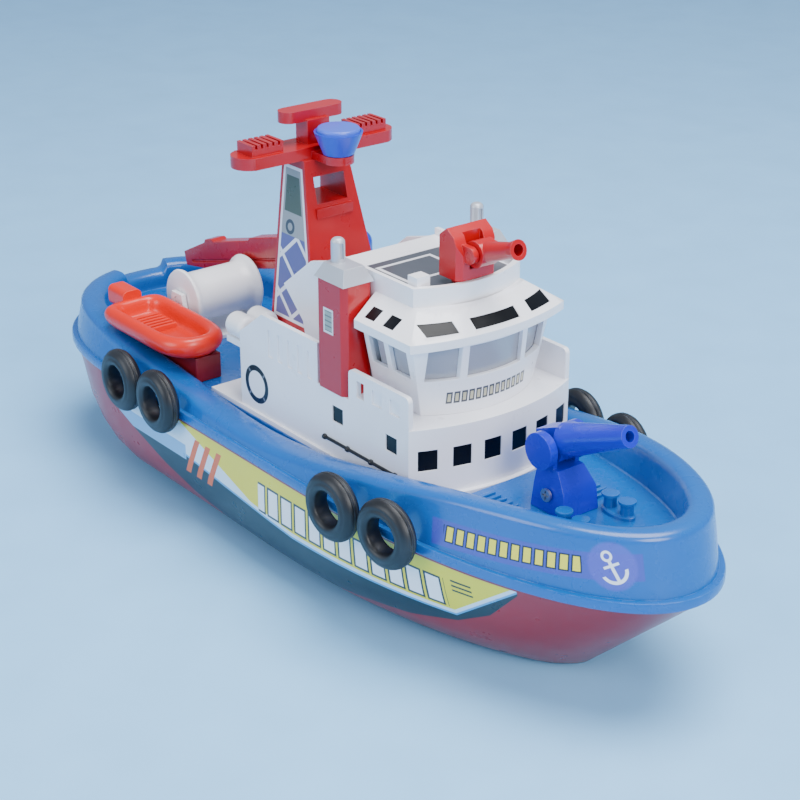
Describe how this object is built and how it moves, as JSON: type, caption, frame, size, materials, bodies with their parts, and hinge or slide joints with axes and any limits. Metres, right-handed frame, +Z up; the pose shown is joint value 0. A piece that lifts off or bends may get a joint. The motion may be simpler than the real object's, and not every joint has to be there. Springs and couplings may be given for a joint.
{
  "type": "toy boat",
  "caption": "Battery-driven toy rescue boat: red and blue hull, white deckhouse, turning water cannons, radar, crane, towing winch, lift-off rescue boat, propeller and rudder.",
  "frame": {"origin": "middle of the flat keel the boat stands on", "axes": "+X bow, +Y port, +Z up"},
  "size_m": [0.28, 0.0998, 0.1304],
  "materials": {
    "hull_red": "moulded gloss plastic",
    "hull_blue": "moulded gloss plastic",
    "house_white": "moulded satin plastic",
    "window_dark": "printed gloss panel",
    "glazing_grey": "smoked moulded panel",
    "gear_red": "moulded gloss plastic",
    "gear_blue": "moulded gloss plastic",
    "cradle_red": "moulded gloss plastic",
    "rescue_orange": "moulded gloss plastic",
    "cap_silver": "silver painted plastic",
    "tyre_black": "soft moulded plastic",
    "steel": "plated steel",
    "brass": "drawn brass",
    "inner_black": "moulded black plastic",
    "cell": "wrapped cell",
    "hose": "soft clear tube"
  },
  "bodies": {
    "root": {"lower_hull": "hull_red", "upper_hull": "hull_blue", "deckhouse": "house_white", "deckhouse_windows": "window_dark", "wheelhouse": "house_white", "wheelhouse_glazing": "glazing_grey", "wheelhouse_roof": "house_white", "brow_windows": "window_dark", "mast": "gear_red", "funnel_starboard": "gear_red", "funnel_port": "gear_red", "exhaust_cap_starboard": "cap_silver", "exhaust_cap_port": "cap_silver", "life_raft_canisters": "house_white", "boat_cradle": "cradle_red", "winch_frame": "house_white", "crane_column": "gear_blue", "stern_tube": "brass", "drive_motor": "steel", "motor_mount": "inner_black", "battery_box": "inner_black", "battery_door": "hull_red", "battery_contacts": "steel", "battery_cell_1": "cell", "battery_cell_2": "cell", "pump_motor": "steel", "pump_housing": "inner_black", "intake_strainer": "inner_black", "pump_hose": "hose", "switch_body": "inner_black", "hull_screws": "steel", "door_screw": "steel", "tyre_fender_starboard_1": "tyre_black", "tyre_fender_starboard_2": "tyre_black", "tyre_fender_starboard_3": "tyre_black", "tyre_fender_starboard_4": "tyre_black", "tyre_fender_port_1": "tyre_black", "tyre_fender_port_2": "tyre_black", "tyre_fender_port_3": "tyre_black", "tyre_fender_port_4": "tyre_black"},
    "propeller_body": {"propeller": "inner_black", "propeller_shaft": "steel"},
    "rudder_body": {"rudder": "hull_red"},
    "impeller_body": {"pump_impeller": "inner_black"},
    "cannon_turn": {"cannon_pedestal": "gear_blue", "cannon_screw": "steel"},
    "cannon_tilt": {"cannon_head": "gear_blue"},
    "monitor_turn": {"monitor_base": "gear_red"},
    "monitor_tilt": {"monitor_nozzle": "gear_red"},
    "radar": {"radar_dish": "gear_blue", "radar_lid": "gear_blue"},
    "crane_slew": {"crane_turret": "gear_blue"},
    "crane_luff": {"crane_boom": "gear_red"},
    "winch": {"winch_drum": "house_white"},
    "rescue": {"rescue_boat": "rescue_orange", "outboard_motor": "rescue_orange"},
    "switch": {"switch_slider": "inner_black"}
  },
  "joints": [
    {"name": "propeller_spin", "type": "hinge", "parent": "root", "child": "propeller_body", "pos_m": [-0.107, 0, 0.013], "axis": [1, 0, 0], "continuous": true},
    {"name": "rudder_turn", "type": "hinge", "parent": "root", "child": "rudder_body", "pos_m": [-0.119, 0, 0.02], "axis": [0, 0, 1], "range_deg": [-35, 35]},
    {"name": "impeller_spin", "type": "hinge", "parent": "root", "child": "impeller_body", "pos_m": [0.042, 0, 0.009], "axis": [0, 0, 1], "continuous": true},
    {"name": "cannon_swivel", "type": "hinge", "parent": "root", "child": "cannon_turn", "pos_m": [0.088, 0, 0.045], "axis": [0, 0, 1], "range_deg": [-60, 60]},
    {"name": "cannon_elevate", "type": "hinge", "parent": "cannon_turn", "child": "cannon_tilt", "pos_m": [0.085, 0, 0.061], "axis": [0, 1, 0], "range_deg": [-30, 15]},
    {"name": "monitor_swivel", "type": "hinge", "parent": "root", "child": "monitor_turn", "pos_m": [0.0455, 0, 0.098], "axis": [0, 0, 1], "range_deg": [-60, 60]},
    {"name": "monitor_elevate", "type": "hinge", "parent": "monitor_turn", "child": "monitor_tilt", "pos_m": [0.052, 0, 0.1065], "axis": [0, 1, 0], "range_deg": [-25, 10]},
    {"name": "radar_spin", "type": "hinge", "parent": "root", "child": "radar", "pos_m": [-0.0135, 0, 0.12], "axis": [0, 0, 1], "continuous": true},
    {"name": "crane_slew_turn", "type": "hinge", "parent": "root", "child": "crane_slew", "pos_m": [-0.033, 0.0193, 0.074], "axis": [0, 0, 1], "range_deg": [-95, 0]},
    {"name": "boom_luff", "type": "hinge", "parent": "crane_slew", "child": "crane_luff", "pos_m": [-0.04298, 0.0186, 0.0768], "axis": [-0.0698, 0.9976, 0], "range_deg": [0, 50]},
    {"name": "winch_spin", "type": "hinge", "parent": "root", "child": "winch", "pos_m": [-0.083, -0.001, 0.0554], "axis": [0, 1, 0], "continuous": true},
    {"name": "rescue_boat_lift", "type": "slide", "parent": "root", "child": "rescue", "axis": [0, 0, 1], "range_m": [0, 0.04]},
    {"name": "power_switch", "type": "slide", "parent": "root", "child": "switch", "axis": [1, 0, 0], "range_m": [0, 0.004]}
  ]
}
